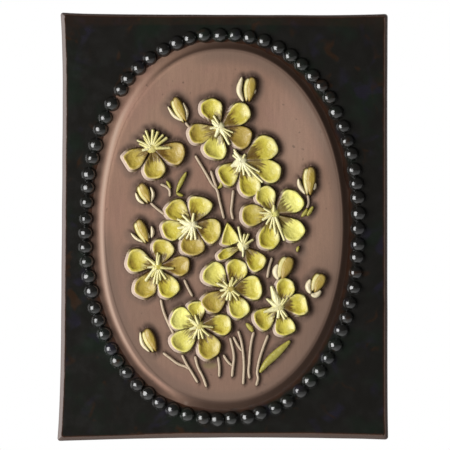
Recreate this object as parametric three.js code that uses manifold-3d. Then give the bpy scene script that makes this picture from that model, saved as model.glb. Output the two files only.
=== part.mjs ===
// Rectangular stoneware wall plaque: a slab with slightly bowed sides, a raised oval medallion,
// a ring of beads around it and a bouquet of five-petalled flowers in relief on the medallion.
//
// Frame: millimetres, +Z up, +X to the viewer's right. The flat back lies in the plane Y = 0 and
// faces +Y, towards the wall, and the relief rises towards -Y. The origin is on the back, behind
// the middle of the medallion. Relief is drawn in (x, z) with a height h above the slab's front.

import * as THREE from "three";
import { mergeVertices } from "three/addons/utils/BufferGeometryUtils.js";
import Module from "manifold-3d";

const wasm = await Module();
wasm.setup();

// ---------------------------------------------------------------- driving dimensions (mm)

const SLAB_THICKNESS = 11;
const SLAB_CORNERS = {
  topLeft: [-74.5, 97.6],
  bottomLeft: [-76, -98.3],
  bottomRight: [75.3, -97.6],
  topRight: [75.2, 97],
};
const SIDE_BOW = { left: 0.9, bottom: 1.5, right: 0.9, top: 0.6 };
const BOW_POWER = 6;
const SIDE_STEPS = 8;
const SLAB_DRAFT = 1.7;
const SLAB_EDGE_ROUND = 0.8;

const MEDALLION_HALF_WIDTH = 54.2;
const MEDALLION_HALF_HEIGHT = 80.5;
const MEDALLION_RISE = 2.4;
const MEDALLION_BEVEL = 3;
const MEDALLION_FULLNESS = 2.1;
const MEDALLION_STEPS = 56;

const BEAD_COUNT = 71;
const BEAD_RADIUS = 3.3;
const BEAD_HEIGHT = 3.1;
const BEAD_RING_HALF_WIDTH = 62.2;
const BEAD_RING_HALF_HEIGHT = 87.3;
const BEAD_RING_FULLNESS = 2.2;
const BEAD_SHOULDER = { radius: 0.76, height: 0.7 };
const BEAD_SIDES = 6;

const ROOT_DEPTH = 1.2;
const PETAL = { height: 2.7, step: 0.2, hollow: 1, skirt: 1.3, foot: 0.8, widestAt: 0.68, sides: 9 };
const STAMEN = { halfWidth: 0.55, height: 3.2, foot: 0.9 };
const EYE = { radius: 2.1, skirt: 1, height: 2.7, edgeHeight: 2.4, sides: 9 };
const BUD = { height: 2.5, shoulder: 1.5, skirt: 0.9, widestAt: 0.5, sides: 8 };
const EGG_TAPER = 0.45;
const SEPAL_HEIGHT = 1.9;
const LEAF_HEIGHT = 1.5;
const LEAF_TIP_WIDTH = 0.45;
const STEM = { halfWidth: 0.75, height: 1.5 };

const POCKET = { width: 14, height: 8, depth: 6.5, middleZ: 76 };

// ---------------------------------------------------------------- the bouquet (mm, degrees)
// Angles turn anticlockwise from +X as seen from the front. A petal is [angle, reach, half-width]
// and a stamen is [angle, length], both measured from the flower's eye.

const FLOWERS = [
  {
    eye: [-32.5, 35.5],
    petals: [[211, 13.5, 4.3], [277, 14, 4.8], [348, 15.5, 5.5]],
    stamens: [[190, 5], [147, 8], [123, 7.5], [109, 9], [88, 9], [70, 8.5], [52, 8.5], [28, 9], [0, 9]],
  },
  {
    eye: [-1.5, 45],
    petals: [[115, 13.5, 5], [34, 15.5, 4.8], [334, 15.5, 4.8], [257, 14.5, 5.4], [198, 14.5, 4.6]],
    stamens: [[139, 5.5], [186, 5], [115, 6.5], [250, 5.5], [298, 9.5], [320, 7], [337, 7]],
  },
  {
    eye: [8.5, 29.5],
    petals: [[30, 17.5, 5.5], [340, 18.5, 5], [287, 16.5, 4.8], [224, 13, 5]],
    stamens: [[122, 7], [150, 5.5], [70, 4], [241, 6], [278, 7], [295, 8.5], [311, 14], [326, 10]],
  },
  {
    eye: [23, 5.5],
    petals: [[115, 13, 4.8], [35, 14.5, 5.5], [320, 16.5, 4.8], [258, 16, 5], [183, 14.5, 5]],
    stamens: [[152, 4.5], [176, 7], [201, 6.5], [226, 6.5], [256, 7.5], [268, 10], [292, 13.5], [300, 9]],
  },
  {
    eye: [-14, 0.5],
    petals: [[138, 14.5, 4.8], [69, 13.5, 5.3], [342, 13, 5.7], [269, 13.5, 5.8], [194, 14, 4.6]],
    stamens: [[88, 6], [134, 7], [157, 8], [198, 7.5], [230, 9.5], [251, 7.5], [270, 7.5], [289, 7.5], [350, 5]],
  },
  {
    eye: [-30, -18.5],
    petals: [[72, 12.5, 5], [163, 14, 5.5], [239, 15.5, 5], [298, 15, 5], [2, 14.5, 4.4]],
    stamens: [[94, 7], [133, 8], [180, 5], [223, 9], [257, 8.5], [274, 8.5], [291, 7], [308, 7.5], [347, 8]],
  },
  {
    eye: [9, -9],
    petals: [[143, 11, 4], [208, 12.5, 2.3], [309, 13.5, 4.2]],
    stamens: [[107, 9.5], [90, 6], [65, 6.5], [30, 6], [275, 5.5]],
  },
  {
    eye: [3, -28.5],
    petals: [[138, 14.5, 5.3], [70, 13.5, 5], [2, 14.5, 5.4], [294, 14, 4.8], [219, 14.5, 4.8]],
    stamens: [[129, 5], [156, 7], [191, 5], [230, 6], [254, 6], [276, 6], [300, 7], [325, 6], [69, 6], [50, 6]],
  },
  {
    eye: [25.5, -37],
    petals: [[73, 13.5, 4.2], [8, 12.5, 4.9], [285, 13, 4.6], [213, 13, 4.9], [120, 9, 2.4]],
    stamens: [[104, 5.5], [153, 6], [196, 6], [261, 5.5], [286, 6.5], [312, 6], [42, 6.5], [63, 5]],
  },
  {
    eye: [-11, -45.5],
    petals: [[98, 11.5, 3.8], [159, 13.5, 5], [222, 15, 5], [295, 15.5, 5.3], [4, 14.5, 4.7]],
    stamens: [[141, 6.5], [202, 5], [247, 7], [263, 6.5], [286, 6.5], [312, 7], [0, 7]],
  },
];

// A bud is an egg from its base to its tip; its sepals are leaves of [half-width, ...points].
const BUDS = [
  { base: [-17.5, 47.5], tip: [-22.3, 58.2], halfWidth: 1.4 },
  { base: [11.2, 56.7], tip: [12.6, 67.6], halfWidth: 1.7 },
  { base: [-33.8, 10.8], tip: [-38, 18.8], halfWidth: 1.5 },
  { base: [-34.7, -7.4], tip: [-39.3, 2.4], halfWidth: 1.6 },
  { base: [38.9, 14.2], tip: [39.2, 26.8], halfWidth: 2.2 },
  { base: [26, -23], tip: [30.3, -14], halfWidth: 2.1 },
  { base: [41.2, -29.6], tip: [45, -22], halfWidth: 1.8 },
  { base: [-31.2, -57], tip: [-35.6, -47.2], halfWidth: 2.7 },
];

const SEPALS = [
  [0.8, [-17.8, 47.5], [-22.3, 50.2], [-25.4, 54.6]],
  [0.7, [-17, 47.5], [-16.6, 51.8], [-18.4, 56.4]],
  [1.2, [9.2, 56.4], [7.2, 61.8], [8.6, 68]],
  [0.8, [11.7, 59], [13.3, 60.4], [15, 62.2]],
  [0.8, [-35.8, 10], [-38.4, 12], [-40, 15.4]],
  [0.8, [-33, 10.8], [-32, 14.6], [-33.2, 18]],
  [0.7, [-36.2, -7.4], [-39.6, -5.6], [-42.2, -3]],
  [0.8, [-32.8, -5.6], [-32.2, -2.8], [-32.7, 0.2]],
  [0.9, [-33.6, -5.8], [-35.6, -2], [-37.6, 1.6]],
  [1, [37.4, 14.4], [34.8, 18.4], [34.1, 21.8]],
  [0.9, [39.8, 16.2], [41.2, 17.6], [41.9, 20]],
  [1.1, [24.6, -24.4], [23.1, -20.8], [24.2, -17.6]],
  [1, [38.8, -30.4], [37.6, -27.4], [39, -23.6]],
  [1, [39.2, -31.4], [41.8, -32], [43.8, -30]],
  [0.9, [-33.4, -57.4], [-36.8, -53.4], [-37.8, -48]],
];

const LEAVES = [
  [1.5, [16.6, -66.6], [20, -62], [24, -58.2], [30, -52.6]],
  [1.1, [-21.4, 15], [-19.4, 19.6], [-16.6, 24.8]],
  [0.9, [-21.6, 15.2], [-19.6, 14.2], [-18, 13.8]],
  [1, [38, 4.4], [39.4, 6.6], [41, 9.2]],
  [1, [35.4, 4], [37.4, 6.4], [38.2, 8.4]],
  [1.2, [13.6, -48.4], [12.2, -46.2], [10.2, -44]],
  [0.8, [-2.8, 17], [-1, 18.4], [-1.2, 21]],
  [0.8, [33.6, -12], [33.8, -10.4], [34.6, -9]],
];

const STEMS = [
  [[-17.4, 47.6], [-16.4, 46], [-14.8, 44.6]],
  [[-13, 32.4], [-8.4, 24.8], [-5.2, 19.2], [-2.9, 16.4], [-1.6, 11], [0.4, 3]],
  [[-5.8, 25.6], [-4.4, 21], [-2.9, 17]],
  [[4.6, 16.8], [3.9, 10.2], [3.6, 6.8], [4.5, 2.6]],
  [[-33.4, 10.8], [-30, 7.8], [-26.4, 5]],
  [[-29, 19.2], [-25.8, 17.8], [-24.4, 16], [-24.4, 13]],
  [[-18, -24], [-16.2, -27.9], [-13.8, -32.4]],
  [[-28.6, -33], [-27.2, -38.8], [-25, -44.2], [-22.4, -49.4]],
  [[22.3, -14], [20.9, -18.4], [19.9, -24]],
  [[38.3, 14.6], [38.8, 10.6], [37.7, 7.8]],
  [[-19, -58.2], [-16.6, -63], [-14.8, -65.8], [-11.4, -71.6]],
  [[-13, -58.8], [-11.6, -64], [-9.3, -68.6], [-7.5, -73.6]],
  [[-27.8, -57.4], [-24.4, -59.9], [-20.7, -62.6], [-17, -64], [-15.2, -65.4]],
  [[-2.5, -59], [-1.8, -64], [-1.9, -69]],
  [[3, -50.4], [4.5, -56.8], [4.8, -60.4], [4.4, -64], [3.9, -69]],
  [[-0.2, -58.2], [2, -61.6], [4.4, -63.8]],
  [[6.6, -47.2], [8.1, -52], [9, -57.6], [9.4, -64], [9, -72.4]],
  [[4.4, -50], [6.6, -54.2], [8.8, -57.2]],
  [[14, -47.8], [13, -51.4], [12.2, -56.8], [11.8, -62.4], [11.5, -66], [12, -69.8]],
  [[20.5, -49.2], [18.2, -55.2], [16.3, -61.2], [15.4, -66.4], [15.8, -69.4], [14.8, -73]],
];

// ---------------------------------------------------------------- geometry helpers

/** The point at (x, z) on the front, h above the slab's front face. */
const onFront = (x, z, h) => new THREE.Vector3(x, -(SLAB_THICKNESS + h), z);

/** How far a side that slopes out by `skirt` over `height` has spread once it is at its root. */
const rootSpread = (skirt, height) => skirt * (1 + ROOT_DEPTH / height);

/** A closed geometry as a solid that can be joined and cut. */
function solidOf(geometry) {
  geometry.deleteAttribute("normal");
  geometry.deleteAttribute("uv");
  const merged = mergeVertices(geometry);
  return new wasm.Manifold(new wasm.Mesh({
    numProp: 3,
    vertProperties: Float32Array.from(merged.attributes.position.array),
    triVerts: Uint32Array.from(merged.index.array),
  }));
}

/** A closed solid from its points and the triangles between them. */
function solid(points, triangles) {
  const geometry = new THREE.BufferGeometry().setFromPoints(points);
  geometry.setIndex(triangles);
  return solidOf(geometry);
}

/** A point at a distance and an angle in degrees from a centre, in (x, z). */
function polar([x, z], angle, distance) {
  const turn = THREE.MathUtils.degToRad(angle);
  return [x + distance * Math.cos(turn), z + distance * Math.sin(turn)];
}

/** A regular ring of points around a centre, at one height. */
function roundRing(centre, radius, sides, h) {
  const corner = (_, side) => onFront(...polar(centre, (360 * side) / sides, radius), h);
  return Array.from({ length: sides }, corner);
}

/**
 * A body through stacked rings of equally many points, anticlockwise from the front, given from
 * the deepest ring to the highest one. The ends are fans around `floor` and `crown`.
 */
function stack(rings, floor, crown) {
  const sides = rings[0].length;
  const points = [...rings.flat(), floor, crown];
  const floorIndex = points.length - 2;
  const crownIndex = points.length - 1;
  const lastRing = (rings.length - 1) * sides;
  const triangles = [];
  for (let i = 0; i < sides; i++) {
    const next = (i + 1) % sides;
    triangles.push(floorIndex, next, i);
    triangles.push(crownIndex, lastRing + i, lastRing + next);
    for (let ring = 0; ring + 1 < rings.length; ring++) {
      const low = ring * sides;
      const high = low + sides;
      triangles.push(low + i, low + next, high + next);
      triangles.push(low + i, high + next, high + i);
    }
  }
  return solid(points, triangles);
}

/**
 * A ridge on the medallion along a route of (x, z) points, with a roof-shaped section whose foot
 * is below the ground. `width(t)` scales the half-width along the route, t from 0 to 1.
 */
function ridge(route, halfWidth, height, width = () => 1) {
  const last = route.length - 1;
  const sections = route.map(([x, z], i) => {
    const before = route[Math.max(i - 1, 0)];
    const after = route[Math.min(i + 1, last)];
    const along = new THREE.Vector2(after[0] - before[0], after[1] - before[1]).normalize();
    const reach = halfWidth * width(i / last);
    const side = new THREE.Vector2(-along.y, along.x);
    const place = (offset, h) => onFront(x + side.x * offset, z + side.y * offset, MEDALLION_RISE + h);
    const foot = rootSpread(reach, height);
    return [place(foot, -ROOT_DEPTH), place(-foot, -ROOT_DEPTH), place(0, height)];
  });
  const corners = 3;
  const points = sections.flat();
  const triangles = [];
  for (let i = 0; i < last; i++) {
    for (let corner = 0; corner < corners; corner++) {
      const a = i * corners + corner;
      const b = i * corners + ((corner + 1) % corners);
      triangles.push(a, a + corners, b + corners);
      triangles.push(a, b + corners, b);
    }
  }
  const end = last * corners;
  triangles.push(0, 1, 2);
  triangles.push(end, end + 2, end + 1);
  return solid(points, triangles);
}

/** A point on a superellipse, a fraction of a turn from +X. An ellipse has a fullness of 2. */
function superellipse(halfWidth, halfHeight, fullness, turn) {
  const shape = (value) => Math.sign(value) * Math.abs(value) ** (2 / fullness);
  const angle = 2 * Math.PI * turn;
  return [halfWidth * shape(Math.cos(angle)), halfHeight * shape(Math.sin(angle))];
}

// ---------------------------------------------------------------- the slab and the medallion

/** The slab's outline in (x, z), moved inwards by `inset`: four sides that bow in slightly. */
function slabOutline(inset) {
  const { topLeft, bottomLeft, bottomRight, topRight } = SLAB_CORNERS;
  const sides = [
    { from: topLeft, to: bottomLeft, inwards: [1, 0], bow: SIDE_BOW.left },
    { from: bottomLeft, to: bottomRight, inwards: [0, 1], bow: SIDE_BOW.bottom },
    { from: bottomRight, to: topRight, inwards: [-1, 0], bow: SIDE_BOW.right },
    { from: topRight, to: topLeft, inwards: [0, -1], bow: SIDE_BOW.top },
  ];
  const shrinkX = 1 - inset / topRight[0];
  const shrinkZ = 1 - inset / topRight[1];
  const outline = [];
  for (const { from, to, inwards, bow } of sides) {
    for (let step = 0; step < SIDE_STEPS; step++) {
      const t = step / SIDE_STEPS;
      const offset = bow * (1 - Math.abs(2 * t - 1) ** BOW_POWER);
      const x = THREE.MathUtils.lerp(from[0], to[0], t) + inwards[0] * offset;
      const z = THREE.MathUtils.lerp(from[1], to[1], t) + inwards[1] * offset;
      outline.push([x * shrinkX, z * shrinkZ]);
    }
  }
  return outline;
}

function slab() {
  const ring = (inset, y) => slabOutline(inset).map(([x, z]) => new THREE.Vector3(x, y, z));
  const shoulder = SLAB_THICKNESS - SLAB_EDGE_ROUND;
  const rings = [
    ring(SLAB_EDGE_ROUND, 0),
    ring(0, -SLAB_EDGE_ROUND),
    ring(SLAB_DRAFT - SLAB_EDGE_ROUND, -shoulder),
    ring(SLAB_DRAFT, -SLAB_THICKNESS),
  ];
  return stack(rings, new THREE.Vector3(0, 0, 0), onFront(0, 0, 0));
}

function medallion() {
  const ring = (spread, h) => {
    const points = [];
    for (let step = 0; step < MEDALLION_STEPS; step++) {
      const halfWidth = MEDALLION_HALF_WIDTH + spread;
      const halfHeight = MEDALLION_HALF_HEIGHT + spread;
      const place = superellipse(halfWidth, halfHeight, MEDALLION_FULLNESS, step / MEDALLION_STEPS);
      points.push(onFront(...place, h));
    }
    return points;
  };
  const rings = [ring(rootSpread(MEDALLION_BEVEL, MEDALLION_RISE), -ROOT_DEPTH), ring(0, MEDALLION_RISE)];
  return stack(rings, onFront(0, 0, -ROOT_DEPTH), onFront(0, 0, MEDALLION_RISE));
}

// ---------------------------------------------------------------- the ring of beads

/** Places at equal steps along the ring's oval, measured along a fine polygon of it. */
function beadPlaces() {
  const fine = 2000;
  const at = (i) => superellipse(BEAD_RING_HALF_WIDTH, BEAD_RING_HALF_HEIGHT, BEAD_RING_FULLNESS, i / fine);
  const lengths = [0];
  for (let i = 1; i <= fine; i++) {
    const [x0, z0] = at(i - 1);
    const [x1, z1] = at(i);
    lengths.push(lengths[i - 1] + Math.hypot(x1 - x0, z1 - z0));
  }
  const places = [];
  for (let bead = 0; bead < BEAD_COUNT; bead++) {
    const target = (lengths[fine] * (bead + 0.5)) / BEAD_COUNT;
    places.push(at(lengths.findIndex((length) => length >= target)));
  }
  return places;
}

/** One low dome, rooted in the slab. */
function bead(place) {
  const rings = [
    roundRing(place, BEAD_RADIUS, BEAD_SIDES, -ROOT_DEPTH),
    roundRing(place, BEAD_RADIUS * BEAD_SHOULDER.radius, BEAD_SIDES, BEAD_HEIGHT * BEAD_SHOULDER.height),
  ];
  return stack(rings, onFront(...place, -ROOT_DEPTH), onFront(...place, BEAD_HEIGHT));
}

// ---------------------------------------------------------------- the bouquet

/**
 * An egg outline around an axis from its foot to its tip, with `halfWidth` across at `widestAt`
 * along it. The ring is that outline moved outwards by `spread`, at the height h on the medallion.
 */
function eggRing({ foot, tip, halfWidth, widestAt, sides }, spread, h) {
  const along = new THREE.Vector2(tip[0] - foot[0], tip[1] - foot[1]);
  const length = along.length();
  along.normalize();
  const points = [];
  for (let side = 0; side < sides; side++) {
    const angle = (2 * Math.PI * side) / sides;
    const forwards = Math.cos(angle) > 0;
    const half = length * (forwards ? 1 - widestAt : widestAt);
    const taper = forwards ? 1 : 1 - EGG_TAPER * Math.cos(angle) ** 2;
    const ahead = length * widestAt + Math.cos(angle) * (half + spread);
    const aside = Math.sin(angle) * (halfWidth * taper + spread);
    const x = foot[0] + along.x * ahead - along.y * aside;
    const z = foot[1] + along.y * ahead + along.x * aside;
    points.push(onFront(x, z, MEDALLION_RISE + h));
  }
  return points;
}

/** The point at the widest place of an egg's axis, at the height h on the medallion. */
function eggMiddle({ foot, tip, widestAt }, h) {
  const x = THREE.MathUtils.lerp(foot[0], tip[0], widestAt);
  const z = THREE.MathUtils.lerp(foot[1], tip[1], widestAt);
  return onFront(x, z, MEDALLION_RISE + h);
}

/** A cupped petal: a rim, a hollow inside it and a skirt that slopes out to the ground. */
function petal(eye, [angle, reach, halfWidth], lift) {
  const outline = {
    foot: polar(eye, angle, PETAL.foot),
    tip: polar(eye, angle, reach),
    halfWidth,
    widestAt: PETAL.widestAt,
    sides: PETAL.sides,
  };
  const rim = PETAL.height + lift;
  const rings = [
    eggRing(outline, rootSpread(PETAL.skirt, rim) - PETAL.skirt / 3, -ROOT_DEPTH),
    eggRing(outline, -PETAL.skirt / 3, rim),
  ];
  return stack(rings, eggMiddle(outline, -ROOT_DEPTH), eggMiddle(outline, rim - PETAL.hollow));
}

/** The low boss in the middle of a flower. */
function eyeBoss(eye) {
  const rings = [
    roundRing(eye, EYE.radius + EYE.skirt, EYE.sides, MEDALLION_RISE - ROOT_DEPTH),
    roundRing(eye, EYE.radius, EYE.sides, MEDALLION_RISE + EYE.edgeHeight),
  ];
  const floor = onFront(...eye, MEDALLION_RISE - ROOT_DEPTH);
  return stack(rings, floor, onFront(...eye, MEDALLION_RISE + EYE.height));
}

function stamen(eye, [angle, length]) {
  const route = [polar(eye, angle, STAMEN.foot), polar(eye, angle, length)];
  return ridge(route, STAMEN.halfWidth, STAMEN.height);
}

/** Petals stand at two heights in turn, so that each one passes over or under the next. */
function flower({ eye, petals, stamens }) {
  return [
    ...petals.map((shape, i) => petal(eye, shape, i % 2 ? PETAL.step : 0)),
    eyeBoss(eye),
    ...stamens.map((shape) => stamen(eye, shape)),
  ];
}

function bud({ base, tip, halfWidth }) {
  const outline = { foot: base, tip, halfWidth, widestAt: BUD.widestAt, sides: BUD.sides };
  const rings = [eggRing(outline, BUD.skirt, -ROOT_DEPTH), eggRing(outline, 0, BUD.shoulder)];
  return stack(rings, eggMiddle(outline, -ROOT_DEPTH), eggMiddle(outline, BUD.height));
}

/** A leaf's width along its route: narrow at both ends. */
const leafWidth = (t) => LEAF_TIP_WIDTH + (1 - LEAF_TIP_WIDTH) * Math.sin(Math.PI * t);

function bouquet() {
  return [
    ...FLOWERS.flatMap(flower),
    ...BUDS.map(bud),
    ...SEPALS.map(([halfWidth, ...route]) => ridge(route, halfWidth, SEPAL_HEIGHT, leafWidth)),
    ...LEAVES.map(([halfWidth, ...route]) => ridge(route, halfWidth, LEAF_HEIGHT, leafWidth)),
    ...STEMS.map((route) => ridge(route, STEM.halfWidth, STEM.height)),
  ];
}

// ---------------------------------------------------------------- the back

/** The blind pocket that a nail or hook goes into, open at the back only. */
function hangingPocket() {
  const { width, height, depth, middleZ } = POCKET;
  const box = new THREE.BoxGeometry(width, 2 * depth, height);
  box.translate(0, 0, middleZ);
  return solidOf(box);
}

// ---------------------------------------------------------------- the plaque

function plaqueGeometry() {
  let body = slab().add(medallion());
  for (const place of beadPlaces()) {
    body = body.add(bead(place));
  }
  for (const piece of bouquet()) {
    body = body.add(piece);
  }
  const mesh = body.subtract(hangingPocket()).getMesh();
  const geometry = new THREE.BufferGeometry();
  geometry.setAttribute("position", new THREE.BufferAttribute(mesh.vertProperties, 3));
  geometry.setIndex(new THREE.BufferAttribute(mesh.triVerts, 1));
  return geometry;
}

const plaque = new THREE.Mesh(
  plaqueGeometry(),
  new THREE.MeshStandardMaterial({ color: 0x8f7161, roughness: 0.8, metalness: 0 }),
);
plaque.name = "plaque";

const object = new THREE.Group();
object.add(plaque);
export default object;
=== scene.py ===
"""Stoneware wall plaque: a black-glazed slab, a brown oval medallion, a ring of beads and a
bouquet of yellow five-petalled flowers in relief.

Shapes are worked out in millimetres as (x, z, h): x to the right, z up, and h the height above
the slab's front face, which looks along -Y. The mesh builder turns them into metres.
"""
import itertools
import math
import random

import bmesh
import bpy
import numpy as np
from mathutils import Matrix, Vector
from mathutils.kdtree import KDTree


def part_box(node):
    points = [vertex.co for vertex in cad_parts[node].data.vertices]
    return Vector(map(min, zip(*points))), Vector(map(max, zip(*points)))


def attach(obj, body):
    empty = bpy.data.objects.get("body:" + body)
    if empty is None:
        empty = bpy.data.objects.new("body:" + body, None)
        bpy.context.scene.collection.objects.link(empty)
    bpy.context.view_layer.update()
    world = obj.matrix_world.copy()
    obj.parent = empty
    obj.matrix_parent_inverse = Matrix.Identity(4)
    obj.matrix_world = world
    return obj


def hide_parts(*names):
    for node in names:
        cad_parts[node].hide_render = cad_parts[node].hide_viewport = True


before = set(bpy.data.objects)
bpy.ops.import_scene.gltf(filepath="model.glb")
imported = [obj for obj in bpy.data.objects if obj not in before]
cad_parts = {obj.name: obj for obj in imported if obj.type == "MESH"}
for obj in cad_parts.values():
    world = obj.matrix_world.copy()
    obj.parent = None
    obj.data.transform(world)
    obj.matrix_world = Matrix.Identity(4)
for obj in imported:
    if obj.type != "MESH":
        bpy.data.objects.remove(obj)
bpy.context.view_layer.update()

MM = 0.001
LOW, HIGH = (np.array(corner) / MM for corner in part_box("plaque"))

# ---- the slab (mm). Its sides are numbered anticlockwise: bottom, right, top, left.

SLAB_THICKNESS = 11
# Bottom left, bottom right, top right, top left, measured from the corners of the frame's box.
SLAB_CORNERS = [
    (LOW[0], LOW[2]),
    (HIGH[0], LOW[2] + 0.7),
    (HIGH[0] - 0.1, HIGH[2] - 0.6),
    (LOW[0] + 1.5, HIGH[2]),
]
SIDE_BOWS = [1.25, 0.25, 0.75, 1.4]
BOW_POWERS = [2, 6, 6, 6]
CORNER_ROUND = 1.5
# The slab's side from its back edge to the front: (inset from the outline, depth from the back).
SLAB_SIDE = [
    (0.5, 0.0), (0.2, 0.2), (0.02, 0.75), (0.05, 3.2), (0.12, 5.6), (0.25, 8.0), (0.42, 9.4),
    (0.7, 10.2), (1.1, 10.7), (1.6, 10.93), (2.1, 11.0), (2.6, 11.0), (3.1, 11.0),
    (3.8, 11.0), (4.7, 11.0),
]
SIDE_REACH = np.array([2.9, 2.4, 2.4, 3.2])
# Painted shade on the slab's sides that face away from the light; the lit left side has none.
SIDE_SHADE = np.array([0.8, 0.65, 0.85, 0.0])
BACK_INSET = 1.6
BACK_BLENDS = [0.08, 0.2, 0.4, 0.6, 0.8, 1.0]
BORDER_BLENDS = [0.12, 0.27, 0.42, 0.57, 0.72, 0.87]
POCKET = {"width": 14, "height": 8, "depth": 6.5, "round": 0.3, "middle": 76}
# Faces across and up the medallion's grid; the back has one column for each BACK_MERGE of them.
GRID = (170, 250)
BACK_MERGE = 10
CORNER_CROWDING = 0.06

# ---- the medallion (mm)

MEDALLION_HALF = (54.2, 80.5)
MEDALLION_RISE = 2.4
MEDALLION_FULLNESS = 2.1
# The medallion's rim from the plateau out to the border: (spread beyond its edge, height).
MEDALLION_RIM = [
    (-2.0, 2.4), (-1.35, 2.4), (-0.95, 2.38), (-0.72, 2.34), (-0.5, 2.3), (-0.28, 2.33),
    (-0.08, 2.36), (0.2, 2.3), (0.6, 2.02), (1.2, 1.52), (1.9, 0.95), (2.5, 0.5), (2.95, 0.22),
    (3.45, 0.05), (4.0, 0.0), (4.6, 0.0), (5.2, 0.0), (5.9, 0.0), (6.7, 0.0),
]

# ---- painted marks
# An arc of the oval is the pair of angles it fades in between, then the pair it fades out
# between. A mark is a centre and half-sizes.

LIT_ARC = ((106, 128), (266, 246))
BARE_ARC = ((82, 112), (152, 138))
UNWASHED_ARC = ((92, 108), (195, 168))
GLAZE_FROM_MEDALLION = 3.0
GLAZE_FROM_EDGE = np.array([2.1, 1.75, 1.3, 2.0])
# A painted pool of light on the ground at the upper right.
LIGHT_POOL = ((36, 46), (20, 26))
GREEN_MARK = ((-6, -63.5), (4.2, 1.7))
# A small pale spot on the bottom of the rim.
PALE_SPOT = ((-17, -80.6), (0.9, 0.9))
# A distance that is out of reach of any edge.
FAR = 20.0
LIT_SIDE = math.radians(200)

# ---- the beads (mm)

BEAD_COUNT = 71
BEAD_PHASE = 0.9
BEAD_RING_HALF = (62.2, 87.5)
BEAD_RING_CENTRE = (-0.5, -0.4)
BEAD_RING_FULLNESS = 2.2
BEAD_RADIUS = 3.3
BEAD_HEIGHT = 3.0
BEAD_SHOULDER = 0.42
BEAD_STEPS = 7
BEAD_COLUMNS = 26

# ---- the relief (mm)

ROOT_DEPTH = 1.2
# The ring of a petal or a bud that lies where it meets the ground.
FOOT_RING = 1
PETAL_COLUMNS = 48
PETAL_HEIGHT = 2.55
PETAL_STEP = 0.25
PETAL_HOLLOW = 0.95
PETAL_FOOT = 0.8
PETAL_WIDEST = 0.68
PETAL_TAPER = 0.78
PETAL_BLUNT = 2.35
NEAREST_MIDDLE = 0.35
# A petal's side as (level, flare), its lip as (scale, drop, bareness) and its hollow as scales.
PETAL_SIDE = [(-ROOT_DEPTH, 1.15), (-0.1, 1.0), (0.18, 0.66), (0.42, 0.42), (0.66, 0.26),
              (0.84, 0.13), (0.94, 0.04)]
PETAL_LIP = [(0.99, 0.06, 0.6), (0.94, -0.04, 0.3), (0.88, -0.05, 0), (0.81, 0.04, 0)]
PETAL_CUP = [0.72, 0.62, 0.5, 0.36, 0.2]
SEED_RANGE = 97
FIN_BLUNT = 1.3
FIN_WIDEST = 0.16
# The mound under the stamens, as (radius, height).
EYE_PROFILE = [(3.1, -ROOT_DEPTH), (2.6, 1.0), (2.1, 1.9), (1.5, 2.45), (0.8, 2.7), (0, 2.75)]
EYE_COLUMNS = 18
STAMEN_HEIGHT = 3.05
STAMEN_HALF_WIDTH = 0.76
EGG_TAPER = 0.45
# A lobe of a bud, as (spread, level, stain and painted shade).
BUD_PROFILE = [(0.8, -ROOT_DEPTH, 1), (0.6, -0.02, 1), (0.34, 0.3, 1), (0.12, 0.62, 0.8),
               (-0.1, 0.82, 0.35), (-0.38, 0.94, 0), (-0.7, 1.0, 0)]
BUD_COLUMNS = 26
BUD_WIDEST = 0.56
BUD_BLUNT = 2.5
STEM_HALF_WIDTH = 0.72
STEM_HEIGHT = 1.25
SECTION_STEPS = 8

# ---- guards against coincident points (m) and divisions by zero

HAIR = 4e-7
TINY = 1e-9

# ---- colours (linear)

CLAY = (0.272, 0.149, 0.1)
WARM_CLAY = (0.298, 0.174, 0.116)
PINK_CLAY = (0.28, 0.145, 0.107)
SPECK = (0.06, 0.03, 0.02)
# Dark wash, also used as painted shade on the ground.
WASH_AND_SHADE = (0.132, 0.084, 0.06)
GREEN_SMEAR = (0.2, 0.16, 0.055)
# Pale clay for the rim's line, partly wear and partly painted highlight, and for the painted pool
# of light.
WORN_AND_LIT_CLAY = (0.44, 0.325, 0.255)
SIDE_CLAY = (0.176, 0.157, 0.153)
# Dark brown stain, also used as painted shade and painted shadow on the clay.
SHADE_AND_STAIN = (0.042, 0.017, 0.007)
BLACK_GLAZE = (0.0095, 0.0088, 0.0075)
GREEN_GLAZE = (0.0085, 0.0125, 0.0085)
BLUE_GLAZE = (0.013, 0.0115, 0.018)
BROWN_GLAZE = (0.022, 0.0115, 0.006)
BROKEN_GLAZE = (0.045, 0.018, 0.009)
BEAD_IOR = 1.75
PALE_YELLOW = (0.68, 0.62, 0.26)
YELLOW = (0.585, 0.5, 0.06)
OCHRE = (0.33, 0.225, 0.022)
BROWNISH_YELLOW = (0.35, 0.225, 0.048)
LEMON = (0.82, 0.78, 0.22)
LEAF_GREEN = (0.3, 0.27, 0.055)
CREAM = (0.88, 0.83, 0.52)
# Pale bare clay, also the painted highlight on petal sides and lips that face the light.
PALE_BARE_AND_LIT = (0.66, 0.52, 0.42)
# Dark veins, also the painted shadow of the eye on the petals beyond it.
VEIN_AND_EYE_SHADOW = (0.1, 0.046, 0.007)
# Stain and painted shade at the foot of the relief and in its creases.
FOOT_SHADE_AND_STAIN = (0.04, 0.018, 0.005)
# The stems darken towards their foot as painted shade.
STEM_FOOT_SHADE = (0.08, 0.045, 0.026)
STEM_CREST = (0.5, 0.39, 0.27)

# ---- the studio (m)

CAMERA_DISTANCE = 3.0
CAMERA_AIM = (0.00073, 0.00046)
VIEW_WIDTH = 0.2049
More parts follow.
